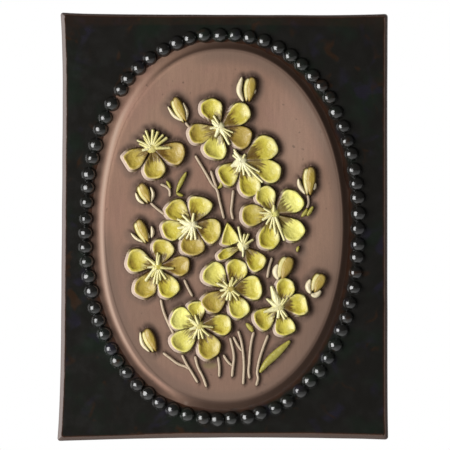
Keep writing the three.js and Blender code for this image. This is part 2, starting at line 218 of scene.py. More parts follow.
# (name, the side it stands on, distance, size, power)
LIGHTS = [("key", (-0.74, -0.67, -0.04), 0.95, 0.75, 13.6),
          ("back", (0.5, 0.8, 0.5), 1.2, 0.9, 13)]
ROOM_COLOUR = (1, 0.98, 0.96, 1)
ROOM_STRENGTH = 0.06
FLOOR_SIZE = 14
FLOOR_PLACE = (0, 2.6, -0.85)
FLOOR_GREY = (0.9, 0.9, 0.9)
FLOOR_WHITE = (0.93, 0.93, 0.93)
FLOOR_GLOW = 0.24

# ---- the bouquet (mm, degrees)
# Angles turn anticlockwise from +X as seen from the front. A petal is (angle, reach, half-width,
# tone, bluntness), with tone from -1 for thin brownish glaze to 1 for clear lemon. A stamen is
# (angle, length), and a tuft of joined stamens is (angle, length, half-width). A fin is a narrow
# petal: (foot, tip, half-width, tone).

FLOWERS = [
    {"eye": (-32.5, 35.5), "pale": 0.2, "eye_tone": -0.1,
     "petals": [(211, 13.5, 4.5, -0.6, 4), (277, 14, 4.9, -0.45), (346, 15, 5.2, -0.9)],
     "tufts": [(162, 6.5, 1.7), (130, 6, 1.3)],
     "stamens": [(190, 5), (147, 8), (123, 7.5), (109, 9), (88, 9), (70, 8.5), (52, 8.5), (28, 9),
                 (0, 9)]},
    {"eye": (-1.5, 45), "pale": 0.9,
     "petals": [(115, 13.5, 5, 0.1), (34, 15.5, 4.8, 0), (334, 15.5, 4.8, -0.9),
                (257, 14.5, 5.4, 0.8), (198, 14.5, 4.6, -0.5)],
     "tufts": [(300, 7, 2), (150, 4.5, 1.9), (240, 4.5, 1.7)],
     "stamens": [(139, 5.5), (186, 5), (115, 6.5), (250, 5.5), (298, 9.5), (320, 7), (337, 7)]},
    {"eye": (8.5, 29.5), "pale": 1,
     "petals": [(30, 17.5, 5.5, 0.1), (340, 18.5, 5, 0.6), (287, 16.5, 4.8, 0.1),
                (224, 13, 5, 0.5)],
     "tufts": [(205, 6, 2.8), (300, 7.5, 2.4), (130, 6, 2.1), (255, 5.5, 2)],
     "stamens": [(122, 7), (150, 5.5), (70, 4), (241, 6), (278, 7), (295, 8.5), (311, 14),
                 (326, 10)]},
    {"eye": (23, 5.5), "pale": 0.12, "eye_tone": 1.4,
     "petals": [(115, 13, 4.8, 0.7), (35, 14.5, 5.5, 1.5), (320, 16.5, 4.8, 1.2),
                (258, 16, 5, 0.2), (183, 14.5, 5, -0.35)],
     "tufts": [(190, 5, 1.6), (90, 4.5, 1.8)],
     "stamens": [(152, 6), (176, 7), (201, 6.5), (226, 6.5), (256, 7.5), (268, 10), (292, 13.5),
                 (300, 9)]},
    {"eye": (-14, 0.5), "pale": 1,
     "petals": [(138, 14.5, 4.8, -0.2), (69, 13.5, 5.3, 0), (342, 13, 5.7, -0.3),
                (269, 13.5, 5.8, -0.7), (194, 14, 4.6, 0.1)],
     "tufts": [(165, 6.5, 2.4), (215, 6.5, 2.5), (260, 5.5, 2.2)],
     "stamens": [(88, 6), (134, 7), (157, 8), (198, 7.5), (230, 9.5), (251, 7.5), (270, 7.5),
                 (289, 7.5), (350, 5)]},
    {"eye": (-30, -18.5), "pale": 0.08, "eye_tone": 0.1,
     "petals": [(72, 12.5, 5, -0.2), (163, 14, 5.5, -0.1), (239, 15.5, 5, -0.6), (298, 15, 5, 0.2),
                (2, 14.5, 4.4, -0.8)],
     "tufts": [(80, 6, 1.5), (240, 6, 1.4)],
     "stamens": [(94, 7), (133, 8), (180, 5), (223, 9), (257, 8.5), (274, 8.5), (291, 7),
                 (308, 7.5), (347, 8)]},
    {"eye": (9, -9), "pale": 0.7, "fins": [((3.4, -8.8), (1.8, 1.2), 4.1, 0.6)],
     "petals": [(205, 12.5, 2.3, 0.4), (309, 13.5, 4.2, 0.1)],
     "tufts": [(130, 4, 1.2), (270, 3.5, 1.5)],
     "stamens": [(107, 9.5), (90, 6), (65, 6.5), (30, 6), (275, 5.5)]},
    {"eye": (3, -28.5), "pale": 0.1, "eye_tone": -0.5,
     "petals": [(138, 14.5, 5.3, 0.9), (70, 13.5, 5, 0.1), (2, 14.5, 5.4, 0.6),
                (294, 14, 4.8, 0.7), (219, 14.5, 4.8, -0.6)],
     "tufts": [(85, 4.5, 1.4), (230, 4, 1.4)],
     "stamens": [(129, 5), (156, 7), (191, 5), (230, 6), (254, 6), (276, 6), (300, 7), (325, 6),
                 (69, 6), (50, 6)]},
    {"eye": (25.5, -37), "pale": 0.55,
     "petals": [(73, 13.5, 4.2, 0.3), (8, 12.5, 4.9, 0.2, 3.6), (285, 13, 4.6, 0.6),
                (216, 13, 4.9, 0)],
     "tufts": [(111, 10.8, 3.2), (197, 8, 2.1), (146, 7.5, 2.2)],
     "stamens": [(104, 5.5), (153, 6), (196, 6), (261, 5.5), (286, 6.5), (312, 6), (42, 6.5),
                 (63, 5)]},
    {"eye": (-11, -45.5), "pale": 0.25, "eye_tone": -0.1,
     "petals": [(98, 11.5, 3.8, 0.6), (159, 13.5, 5, 1.4), (222, 15, 5, 0.9),
                (295, 15.5, 5.3, -0.4), (4, 14.5, 4.7, 0)],
     "tufts": [(150, 5, 1.6), (110, 6, 1.5)],
     "stamens": [(141, 6.5), (202, 5), (247, 7), (263, 6.5), (286, 6.5), (312, 7), (0, 7)]},
]
# A bud is an egg from its base to its tip: (base, tip, half-width).
BUDS = [
    ((-17.5, 47.5), (-22.6, 58), 2.7), ((11.2, 56.7), (12.6, 67.6), 2.9),
    ((-33.8, 10.8), (-38, 18.8), 2.7), ((-34.7, -7.4), (-39.3, 2.4), 2.8),
    ((38.9, 14.2), (39.2, 26.8), 3.1), ((26, -24), (29.8, -14), 3.6),
    ((41, -29.8), (44.8, -21.8), 3.2), ((-31.2, -57), (-35.6, -47.2), 2.9),
]
# Sepals and leaves are ridges: (half-width, points). Stems are points only.
SEPALS = [
    (0.8, [(-17.8, 47.5), (-22.3, 50.2), (-25.4, 54.6)]),
    (0.7, [(-17, 47.5), (-16.6, 51.8), (-18.4, 56.4)]),
    (1.2, [(9.2, 56.4), (7.2, 61.8), (8.6, 68)]), (0.8, [(11.7, 59), (13.3, 60.4), (15, 62.2)]),
    (0.8, [(-35.8, 10), (-38.4, 12), (-40, 15.4)]), (0.8, [(-33, 10.8), (-32, 14.6), (-33.2, 18)]),
    (0.7, [(-36.2, -7.4), (-39.6, -5.6), (-42.2, -3)]),
    (0.8, [(-32.8, -5.6), (-32.2, -2.8), (-32.7, 0.2)]),
    (0.9, [(-33.6, -5.8), (-35.6, -2), (-37.6, 1.6)]),
    (1, [(37.4, 14.4), (34.8, 18.4), (34.1, 21.8)]),
    (0.9, [(39.8, 16.2), (41.2, 17.6), (41.9, 20)]),
    (1.4, [(25.2, -24.6), (23.8, -20.8), (24.9, -17.2)]),
    (1.3, [(39.8, -31), (38.6, -27.6), (39.8, -24)]),
    (1.2, [(39.6, -31), (42, -31.4), (44.6, -29.2)]),
    (0.9, [(-33.4, -57.4), (-36.8, -53.4), (-37.8, -48)]),
]
LEAVES = [
    (1.9, [(16.4, -66.8), (20, -62), (24.4, -57.8), (30.6, -52)]),
    (1.1, [(-21.4, 15), (-19.4, 19.6), (-16.6, 24.8)]),
    (0.9, [(-21.6, 15.2), (-19.6, 14.2), (-18, 13.8)]),
    (0.8, [(-24, 16.8), (-24.7, 18.8), (-26, 20.8)]), (1, [(38, 4.4), (39.4, 6.6), (41, 9.2)]),
    (1, [(35.4, 4), (37.4, 6.4), (38.2, 8.4)]), (1.2, [(13.6, -48.4), (12.2, -46.2), (10.2, -44)]),
    (0.8, [(-2.8, 17), (-1, 18.4), (-1.2, 21)]), (0.8, [(33.6, -12), (33.8, -10.4), (34.6, -9)]),
]
STEMS = [
    [(-17.4, 47.6), (-16.4, 46), (-14.8, 44.6)],
    [(-13, 32.4), (-8.4, 24.8), (-5.2, 19.2), (-2.9, 16.4), (-1.6, 11), (0.4, 3)],
    [(-5.8, 25.6), (-4.4, 21), (-2.9, 17)],
    [(4.6, 16.8), (3.9, 10.2), (3.6, 6.8), (4.5, 2.6)],
    [(-33.4, 10.8), (-30, 7.8), (-26.4, 5)],
    [(-29, 19.2), (-25.8, 17.8), (-24.4, 16), (-24.4, 13)],
    [(-18, -24), (-16.2, -27.9), (-13.8, -32.4)],
    [(-28.6, -33), (-27.2, -38.8), (-25, -44.2), (-22.4, -49.4)],
    [(22.3, -14), (20.9, -18.4), (19.9, -24)],
    [(38.3, 14.6), (38.8, 10.6), (37.7, 7.8)],
    [(-19, -58.2), (-16.6, -63), (-14.8, -65.8), (-11.4, -71.6)],
    [(-13, -58.8), (-11.6, -64), (-9.3, -68.6), (-7.5, -73.6)],
    [(-27.8, -57.4), (-24.4, -59.9), (-20.7, -62.6), (-17, -64), (-15.2, -65.4)],
    [(-2.5, -59), (-1.8, -64), (-1.9, -69)],
    [(3, -50.4), (4.5, -56.8), (4.8, -60.4), (4.4, -64), (3.9, -69)],
    [(-0.2, -58.2), (2, -61.6), (4.4, -63.8)],
    [(6.6, -47.2), (8.1, -52), (9, -57.6), (9.4, -64), (9, -72.4)],
    [(4.4, -50), (6.6, -54.2), (8.8, -57.2)],
    [(14, -47.8), (13, -51.4), (12.2, -56.8), (11.8, -62.4), (11.5, -66), (12, -69.8)],
    [(20.5, -49.2), (18.2, -55.2), (16.3, -61.2), (15.4, -66.4), (15.8, -69.4), (14.8, -73)],
]

# ---- small helpers


def smoothstep(edge0, edge1, value):
    """0 at the first edge and 1 at the second, with a smooth rise between them."""
    t = np.clip((value - edge0) / (edge1 - edge0), 0, 1)
    return t * t * (3 - 2 * t)


def wander(x, z, size, seed):
    """A smooth random field of about -1 to 1 whose bumps are `size` across."""
    rng = random.Random(seed)
    total = 0
    waves = 7
    for _ in range(waves):
        angle = rng.uniform(0, 2 * math.pi)
        rate = math.pi / (size * rng.uniform(0.7, 1.6))
        total = total + np.sin((x * math.cos(angle) + z * math.sin(angle)) * rate
                               + rng.uniform(0, 2 * math.pi))
    return total / math.sqrt(waves)


def polar(centre, degrees, distance):
    """The point at an angle and a distance from a centre."""
    angle = math.radians(degrees)
    return centre[0] + distance * math.cos(angle), centre[1] + distance * math.sin(angle)


def lerp(a, b, t):
    """The value a fraction `t` of the way from `a` to `b`."""
    return a + (b - a) * t


def direction(start, end):
    """The unit direction from a start to an end, and the distance between them."""
    run = np.array(end, float) - np.array(start, float)
    length = np.hypot(*run)
    return run / length, length


def full_turn(columns):
    """Evenly spaced angles round a ring."""
    return np.arange(columns) * 2 * math.pi / columns


def new_object(name, data):
    """A new object in the scene."""
    item = bpy.data.objects.new(name, data)
    bpy.context.scene.collection.objects.link(item)
    return item


class Builder:
    """Collects rings of points with paint values, and the faces between them."""

    def __init__(self, base=MEDALLION_RISE):
        self.base = base
        self.points = []
        self.paint = []
        self.faces = []
        self.count = 0

    def add(self, x, z, h, **paint):
        """Adds points, `h` above the base, and returns their indices. Paint may be arrays."""
        x, z, h = np.broadcast_arrays(*(np.atleast_1d(np.asarray(v, float)) for v in (x, z, h)))
        y = -(SLAB_THICKNESS + (self.base + h))
        self.points.append(np.stack([x, y, z], axis=1) * MM)
        self.paint.append({k: np.broadcast_to(np.asarray(v, float), x.shape)
                           for k, v in paint.items()})
        indices = np.arange(self.count, self.count + len(x))
        self.count += len(x)
        return indices

    def skin(self, rings):
        """Quads between neighbouring closed rings, which run from the root to the crown."""
        for low, high in zip(rings, rings[1:]):
            quads = np.stack([low, np.roll(low, -1), np.roll(high, -1), high], axis=1)
            self.faces.extend(quads.tolist())

    def close(self, rings, crown, floor):
        """The skin over the rings, and triangles from its two ends to the crown and the floor."""
        self.skin(rings)
        top, bottom = rings[-1], rings[0]
        for starts, ends, tip in ((top, np.roll(top, -1), crown),
                                  (np.roll(bottom, -1), bottom, floor)):
            triangles = np.stack([starts, ends, np.full(len(starts), tip[0])], axis=1)
            self.faces.extend(triangles.tolist())

    def mesh(self, name):
        mesh = bpy.data.meshes.new(name)
        mesh.from_pydata(np.concatenate(self.points).tolist(), [], self.faces)
        corners = np.empty(len(mesh.loops), dtype=np.int32)
        mesh.loops.foreach_get("vertex_index", corners)
        for key in sorted({key for paint in self.paint for key in paint}):
            values = np.concatenate([
                paint.get(key, np.zeros(len(points)))
                for paint, points in zip(self.paint, self.points)
            ])
            layer = mesh.attributes.new(key, "FLOAT", "CORNER")
            layer.data.foreach_set("value", values[corners].astype(np.float32))
        return mesh


def finish_mesh(mesh, sharp_degrees):
    """Smooth shading, except over sharp edges."""
    mesh.polygons.foreach_set("use_smooth", [True] * len(mesh.polygons))
    mesh.set_sharp_from_angle(angle=math.radians(sharp_degrees))
    mesh.update()


def add_piece(name, mesh, material):
    piece = new_object(name, mesh)
    mesh.materials.clear()
    mesh.materials.append(material)
    mesh.polygons.foreach_set("material_index", [0] * len(mesh.polygons))
    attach(piece, "root")
    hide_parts("plaque")


def faces_to_fan(work):
    """Faces with a diagonal that another face has as well: cut along it, both would share it."""
    spans = {}
    for face in work.faces:
        for pair in itertools.combinations([vert.index for vert in face.verts], 2):
            spans.setdefault(frozenset(pair), []).append(face)
    edges = {frozenset(vert.index for vert in edge.verts): edge for edge in work.edges}
    found = set()
    for pair, faces in spans.items():
        edge = edges.get(pair)
        if len(faces) > 1:
            found.update(face for face in faces if edge is None or face not in edge.link_faces)
    return [face for face in work.faces if face in found]


def clean_union(mesh):
    """Drops flat pairs of faces, and parts the points and edges that a union leaves shared."""
    work = bmesh.new()
    work.from_mesh(mesh)
    sheets = {}
    for face in work.faces:
        sheets.setdefault(frozenset(vert.index for vert in face.verts), []).append(face)
    flat = [face for faces in sheets.values() if len(faces) > 1 for face in faces]
    bmesh.ops.delete(work, geom=flat, context="FACES")
    work.verts.index_update()
    bmesh.ops.poke(work, faces=faces_to_fan(work))
    work.normal_update()
    taken = set()
    for vert in work.verts:
        place = tuple(vert.co)
        if place in taken:
            vert.co -= HAIR * vert.normal
        taken.add(place)
    work.to_mesh(mesh)
    work.free()


def fuse(name, builders, sharp_degrees=35):
    """One closed mesh from overlapping closed bodies."""
    meshes = [builder.mesh(f"{name}_{i}") for i, builder in enumerate(builders)]
    objects = [new_object(mesh.name, mesh) for mesh in meshes]
    base = objects[0]
    for item in objects[1:]:
        union = base.modifiers.new("union", "BOOLEAN")
        union.operation = "UNION"
        union.solver = "MANIFOLD"
        union.object = item
    depsgraph = bpy.context.evaluated_depsgraph_get()
    fused = bpy.data.meshes.new_from_object(base.evaluated_get(depsgraph))
    for item in objects:
        bpy.data.objects.remove(item)
    fused.name = name
    clean_union(fused)
    finish_mesh(fused, sharp_degrees)
    return fused


# ---- relief bodies

footprints = {"heads": [], "stems": []}


def note_footprint(kind, x, z):
    """Keeps the places where a body meets the ground, for the painted shadow, stain and washes
    round it.
    """
    footprints[kind].extend(zip(x.tolist(), z.tolist()))


def egg(foot, tip, half_width, widest, angles, spread, blunt=2.0, taper=EGG_TAPER):
    """An egg outline round the axis from foot to tip, moved outwards by `spread`."""
    axis, length = direction(foot, tip)
    cos, sin = np.cos(angles), np.sin(angles)
    forwards = cos > 0
    power = np.where(forwards, 2 / blunt, 1)
    half = length * np.where(forwards, 1 - widest, widest)
    narrowing = np.where(forwards, 1, 1 - taper * np.abs(cos) ** 1.4)
    ahead = length * widest + np.sign(cos) * np.abs(cos) ** power * (half + spread)
    aside = np.sign(sin) * np.abs(sin) ** power * (half_width * narrowing + spread)
    x = foot[0] + axis[0] * ahead - axis[1] * aside
    z = foot[1] + axis[1] * ahead + axis[0] * aside
    return x, z


def petal(foot, tip, half_width, tone, blunt, widest, lift, seed, veined=1):
    """A cupped petal with a rounded lip, a hollow and a side that flares out to the ground."""
    rng = random.Random(seed)
    angles = full_turn(PETAL_COLUMNS)
    phase = [rng.uniform(0, 2 * math.pi) for _ in range(4)]

    def wave(height, count, number):
        return height * np.sin(count * angles + phase[number])

    ripple = wave(0.2, 2, 0) + wave(0.14, 3, 1) + wave(0.08, 6, 2)
    axis, length = direction(foot, tip)
    half_way = max(widest, NEAREST_MIDDLE)
    middle = np.array(foot) + axis * length * half_way

    def outline(spread):
        return egg(foot, tip, half_width, widest, angles, spread + ripple, blunt, PETAL_TAPER)

    towards_eye = ((1 - np.cos(angles)) / 2) ** 2
    rim = lift + PETAL_HEIGHT * (1 - 0.48 * towards_eye)
    rim = rim + wave(0.2, 2, 2) + wave(0.1, 5, 3)
    mean_rim = rim.mean()

    edge_x, edge_z = outline(0)
    out_x, out_z = edge_x - middle[0], edge_z - middle[1]
    facing = np.cos(np.arctan2(out_z, out_x) - LIT_SIDE)
    lit = np.clip(facing, 0, 1)
    bare_and_lit_side = smoothstep(0.1, 0.7, lit)
    body = Builder()
    rings = []
    glaze = {"tone": tone, "seed": seed % SEED_RANGE, "petal": veined}

    def ring(x, z, h, **paint):
        ahead = ((x - foot[0]) * axis[0] + (z - foot[1]) * axis[1]) / length
        aside = ((z - foot[1]) * axis[0] - (x - foot[0]) * axis[1]) / half_width
        # Petals that point right lie in the eye's painted shadow.
        rings.append(body.add(x, z, h, ahead=ahead, aside=aside, lee=0.5 + 0.5 * axis[0],
                              **glaze, **paint))

    # The sides that face the light are painted pale as bare clay in painted light; elsewhere their
    # foot gets stain and painted shade.
    for level, flare in PETAL_SIDE:
        x, z = outline(flare * (0.85 + 0.45 * lit))
        near_ground = smoothstep(1.15, 0.75, max(level, 0))
        ring(x, z, level if level < 0 else level * rim, bare=bare_and_lit_side,
             stain=(1 - 0.8 * bare_and_lit_side) * near_ground)
        if len(rings) == FOOT_RING + 1:
            note_footprint("heads", x, z)
    # The lip is painted bare and pale where it faces the light, and paler yellow on the far side,
    # whose inner slope faces the light: painted highlight.
    for scale, drop, bare in PETAL_LIP:
        ring(middle[0] + scale * out_x, middle[1] + scale * out_z, rim - drop,
             bare=bare * lit, cup=0.28 + 0.22 * facing)
    hollow = PETAL_HOLLOW * rng.uniform(0.85, 1.1)
    uneven = wave(0.1, 2, 0) + wave(0.07, 3, 3)
    # The hollow is painted ochre on its slopes that face away from the light and paler on those
    # that face it: painted shade and highlight.
    for scale in PETAL_CUP:
        depth = hollow * (1 - (scale / 0.86) ** 2.4)
        ring(middle[0] + scale * out_x, middle[1] + scale * out_z,
             lerp(mean_rim, rim, scale**2) - depth + uneven * scale,
             cup=np.clip(0.5 + 0.6 * scale * facing, 0, 1))
    crown = body.add(*middle, mean_rim - hollow, cup=0.55, ahead=half_way, **glaze)
    floor = body.add(*middle, -ROOT_DEPTH, stain=1, ahead=half_way, **glaze)
    body.close(rings, crown, floor)
    return body


def add_dome(body, centre, profile, columns, **paint):
    """A round body from a profile of (radius, height) from its root up to its crown."""
    angles = full_turn(columns)
    rings = [
        body.add(centre[0] + r * np.cos(angles), centre[1] + r * np.sin(angles), h, **paint)
        for r, h in profile[:-1]
    ]
    crown = body.add(*centre, profile[-1][1], **paint)
    floor = body.add(*centre, profile[0][1], **paint)
    body.close(rings, crown, floor)


def smooth_route(points, spacing):
    """Points along a Catmull-Rom curve through the given ones."""
    points = np.array(points, float)
    padded = np.vstack([2 * points[0] - points[1], points, 2 * points[-1] - points[-2]])
    route = []
    for before, start, end, after in zip(padded, padded[1:], padded[2:], padded[3:]):
        steps = max(2, round(np.hypot(*(end - start)) / spacing))
        for t in np.arange(steps) / steps:
            route.append(0.5 * (2 * start + (end - before) * t
                                + (2 * before - 5 * start + 4 * end - after) * t**2
                                + (3 * start - 3 * end + after - before) * t**3))
    route.append(points[-1])
    return np.array(route)


def ridge(points, half_width, height, kind, width=None, crest=None, spacing=0.6, taper=1.2,
          **paint):
    """A rounded ridge along a route. `width(t)` and `crest(t)` scale its section along it."""
    route = smooth_route(points, spacing)
    steps = np.hypot(*np.diff(route, axis=0).T)
    travelled = np.concatenate([[0], np.cumsum(steps)])
    length = travelled[-1]
    along = np.gradient(route, axis=0)
    along /= np.hypot(along[:, 0], along[:, 1])[:, None]
    section = np.linspace(0, math.pi, SECTION_STEPS + 1)
    body = Builder()
    rings = []
    edges = []
    for place, direction, distance in zip(route, along, travelled):
        t = distance / length
        end = min(distance, length - distance) / taper
        round_off = math.sqrt(max(0.06, 1 - max(0, 1 - end) ** 2))
        reach = half_width * (width(t) if width else 1) * round_off
        top = height * (crest(t) if crest else 1) * round_off
        across = np.concatenate([reach * np.cos(section), [-1.25 * reach, 1.25 * reach]])
        up = np.concatenate([top * np.sin(section) ** 0.8, [-ROOT_DEPTH, -ROOT_DEPTH]])
        x = place[0] - direction[1] * across
        z = place[1] + direction[0] * across
        level = np.clip(up / height, 0, 1)
        # Stain and painted shade low on the ridge's sides, where it meets the ground.
        rings.append(body.add(x, z, up, crest=level, stain=smoothstep(0.75, 0.1, level), **paint))
        edges.extend([(x[0], z[0]), (x[SECTION_STEPS], z[SECTION_STEPS])])
    body.skin(rings)
    body.faces.append(rings[0].tolist()[::-1])
    body.faces.append(rings[-1].tolist())
    note_footprint(kind, *np.array(edges).T)
    return body


def stamen(eye, angle, length, pale, seed):
    """A thin filament that lies over the petals and swells a little towards its end."""
    rng = random.Random(seed)
    bend = rng.uniform(-9, 9)
    points = [polar(eye, angle, 0.8), polar(eye, angle + bend / 2, length / 2),
              polar(eye, angle + bend, length)]
    # Stamens that point towards the light are painted paler: a painted highlight.
    lit = math.cos(math.radians(angle - 205))
    return ridge(points, STAMEN_HALF_WIDTH * rng.uniform(0.85, 1.2), STAMEN_HEIGHT, "heads",
                 width=lambda t: 1.3 - 0.75 * t + 0.45 * t**4,
                 crest=lambda t: 0.9 + 0.1 * math.sin(math.pi * t),
                 taper=0.8, spacing=0.7, tone=0.3, pale=0.3 + 0.4 * pale + 0.35 * lit)


def tuft(eye, angle, length, half_width, pale):
    """Stamens run together: a broad ridge on the flower's eye that narrows outwards."""
    points = [polar(eye, angle, 0.2), polar(eye, angle, length / 2), polar(eye, angle, length)]
    return ridge(points, half_width, STAMEN_HEIGHT - 0.1, "heads", width=lambda t: 1 - 0.8 * t,
                 taper=0.6, pale=pale, tone=0.4)


def flower(number, eye, petals, stamens, tufts, pale, eye_tone=0.2, fins=()):
    """A flower's petals, the mound of its eye, and the stamens over them, as one mesh."""
    bodies = []
    for i, (angle, reach, half_width, tone, *blunt) in enumerate(petals):
        foot, tip = polar(eye, angle, PETAL_FOOT), polar(eye, angle, reach)
        lift = PETAL_STEP if i % 2 else 0
        bodies.append(petal(foot, tip, half_width, tone, blunt[0] if blunt else PETAL_BLUNT,
                            PETAL_WIDEST, lift, 100 * number + i))
    for foot, tip, half_width, tone in fins:
        bodies.append(petal(foot, tip, half_width, tone, FIN_BLUNT, FIN_WIDEST, 0,
                            100 * number + 9, veined=0))
    mound = Builder()
    add_dome(mound, eye, EYE_PROFILE, EYE_COLUMNS, pale=pale, tone=eye_tone, cup=0.4, stain=0.1)
    bodies.append(mound)
    for angle, length, half_width in tufts:
        bodies.append(tuft(eye, angle, length, half_width, pale))
    for i, (angle, length) in enumerate(stamens):
        bodies.append(stamen(eye, angle, length, pale, 1000 * number + i))
    return fuse(f"flower_{number:02d}", bodies)


def bud_lobe(base, tip, half_width, height, tone, pale):
    """One rounded lobe of a closed bud."""
    angles = full_turn(BUD_COLUMNS)
    body = Builder()
    rings = []
    for spread, level, stain in BUD_PROFILE:
        spread = max(spread, -0.8 * half_width)
        x, z = egg(base, tip, half_width, BUD_WIDEST, angles, spread, BUD_BLUNT)
        h = level if level < 0 else level * height
        rings.append(body.add(x, z, h, stain=stain, tone=tone, cup=0.5 - 0.4 * np.cos(angles),
                              pale=pale * (1 - stain)))
        if len(rings) == FOOT_RING + 1:
            note_footprint("heads", x, z)
    middle = (lerp(base[0], tip[0], BUD_WIDEST), lerp(base[1], tip[1], BUD_WIDEST))
    crown = body.add(*middle, height * 1.01, tone=tone, cup=0.45, pale=pale)
    floor = body.add(*middle, -ROOT_DEPTH, stain=1)
    body.close(rings, crown, floor)
    return body


def bud(base, tip, half_width):
    """A closed bud of two overlapping lobes with a dark seam between them. The seam is stain and
    painted shade low in the crease; the left lobe, towards the light, is painted paler and the
    right one darker ochre, partly the glaze's tone and partly painted highlight and shade.
    """
    base, tip = np.array(base), np.array(tip)
    along = tip - base
    across = np.array([-along[1], along[0]]) / np.hypot(*along)
    left = base + across * 0.25 * half_width, tip + across * 0.3 * half_width - 0.06 * along
    right = base - across * 0.2 * half_width, tip - across * 0.25 * half_width
    return [bud_lobe(*left, 0.6 * half_width, 2.3, -0.2, 0.4),
            bud_lobe(*right, 0.66 * half_width, 2.85, -0.85, 0)]


def leaf_width(t):
    return 0.25 + 0.75 * math.sin(math.pi * t) ** 0.8


def sepal(half_width, points):
    return ridge(points, half_width * 1.2, 2.1, "heads", width=leaf_width, taper=0.8,
                 spacing=0.5, pale=0.6, bare=0.5, tone=0.1)


def leaf(half_width, points):
    return ridge(points, half_width, 1.4, "heads", width=leaf_width, taper=0.8, cup=0.45,
                 tone=0.1, green=1)


def stem(points):
    return ridge(points, STEM_HALF_WIDTH, STEM_HEIGHT, "stems", taper=1.4, spacing=0.8)


# ---- the ring of beads


def superellipse(half, fullness, turn):
    """The point on a superellipse a fraction of a turn from +X."""
    angle = 2 * math.pi * turn
    cos, sin = np.cos(angle), np.sin(angle)
    return [size * np.sign(ratio) * np.abs(ratio) ** (2 / fullness)
            for size, ratio in zip(half, (cos, sin))]


def bead_places():
    """Places round the ring at nearly equal steps, as a hand would press them."""
    rng = random.Random(11)
    x, z = superellipse(BEAD_RING_HALF, BEAD_RING_FULLNESS, np.linspace(0, 1, 4001))
    travelled = np.concatenate([[0], np.cumsum(np.hypot(np.diff(x), np.diff(z)))])
    places = []
    for number in range(BEAD_COUNT):
        target = travelled[-1] * (number + BEAD_PHASE + rng.uniform(-0.08, 0.08)) / BEAD_COUNT
        sideways = rng.uniform(-0.35, 0.35)
        px, pz = np.interp(target, travelled, x), np.interp(target, travelled, z)
        scale = 1 + sideways / math.hypot(px, pz)
        places.append((px * scale + BEAD_RING_CENTRE[0], pz * scale + BEAD_RING_CENTRE[1]))
    return places


def add_bead(body, place, rng):
    """A rounded bead with a low foot that spreads onto the border."""
    radius = BEAD_RADIUS * rng.uniform(0.9, 1.0)
    height = BEAD_HEIGHT * rng.uniform(0.88, 1.0)
    profile = [(radius + 0.4, -0.6), (radius + 0.35, -0.02), (radius + 0.12, 0.14),
               (radius, BEAD_SHOULDER)]
    for step in range(1, BEAD_STEPS):
        tilt = math.pi / 2 * step / BEAD_STEPS
        rise = (height - BEAD_SHOULDER) * math.sin(tilt)
        profile.append((radius * math.cos(tilt), BEAD_SHOULDER + rise))
    profile.append((0, height))
    add_dome(body, place, profile, BEAD_COLUMNS)


def bead_ring():
    """The beads, fused where the glaze between neighbours has run together."""
    rng = random.Random(23)
    groups = [Builder(base=0) for _ in range(3)]
    for i, place in enumerate(bead_places()):
        add_bead(groups[2 if i == BEAD_COUNT - 1 else i % 2], place, rng)
    return fuse("bead_ring", groups, sharp_degrees=60)


# ---- the slab and the medallion


def outline_columns():
    """The side and the fraction along it for each column, anticlockwise from bottom left."""
    sides, fractions = [], []
    for side, steps in enumerate([*GRID, *GRID]):
        t = np.arange(steps) / steps
        sides.append(np.full(steps, side))
        fractions.append(t - CORNER_CROWDING * np.sin(2 * math.pi * t))
    return np.concatenate(sides), np.concatenate(fractions)


SIDE, FRACTION = outline_columns()


def slab_outline(inset):
    """The slab's outline at an inset: four bowed sides with rounded corners."""
    corners = np.array(SLAB_CORNERS)
    x, z = [], []
    for side in range(4):
        along, length = direction(corners[side], corners[(side + 1) % 4])
        t = FRACTION[SIDE == side]
        bow = SIDE_BOWS[side] * (1 - np.abs(2 * t - 1) ** BOW_POWERS[side])
        near = np.minimum(t, 1 - t) * length
        turn = (math.pi / 4) * np.clip((CORNER_ROUND - near) / CORNER_ROUND, 0, 1)
        near = np.where(near < CORNER_ROUND, CORNER_ROUND * (1 - np.sin(turn)), near)
        inwards = bow + CORNER_ROUND * (1 - np.cos(turn))
        distance = np.where(t < 0.5, near, length - near)
        x.append(corners[side][0] + distance * along[0] - inwards * along[1])
        z.append(corners[side][1] + distance * along[1] + inwards * along[0])
    x, z = np.concatenate(x), np.concatenate(z)
    return x * (1 - inset / HIGH[0]), z * (1 - inset / HIGH[2])


def grid_boundary(values):
    """The boundary of a grid of values, anticlockwise from bottom left."""
    return np.concatenate([values[:-1, 0], values[-1, :-1], values[:0:-1, -1], values[0, :0:-1]])


def oval_grid():
    """A square grid mapped to the unit superellipse, and how near each point is to its edge."""
    u, v = np.meshgrid(*(np.linspace(-1, 1, n + 1) for n in GRID), indexing="ij")
    x, z = u * np.sqrt(1 - v**2 / 2), v * np.sqrt(1 - u**2 / 2)
    r = np.maximum(np.hypot(x, z), TINY)
    total = (np.abs(x) / r) ** MEDALLION_FULLNESS + (np.abs(z) / r) ** MEDALLION_FULLNESS
    factor = np.maximum(total, TINY) ** (-1 / MEDALLION_FULLNESS)
    return (x * factor, z * factor), np.maximum(np.abs(u), np.abs(v))


def spread_oval(unit_oval, spread):
    """The medallion's outline, or its whole grid, grown by `spread` beyond its edge."""
    return [(half + spread) * unit for half, unit in zip(MEDALLION_HALF, unit_oval)]


def arc(x, z, ends):
    """1 over an arc of the oval, fading in and out between the pairs of angles."""
    angle = np.degrees(np.arctan2(z, x)) % 360
    fade_in, fade_out = ends
    return smoothstep(*fade_in, angle) * smoothstep(*fade_out, angle)


def from_mark(x, z, mark):
    """The distance from a painted mark's centre, as a fraction of its half-sizes."""
    centre, half = mark
    return np.hypot((x - centre[0]) / half[0], (z - centre[1]) / half[1])


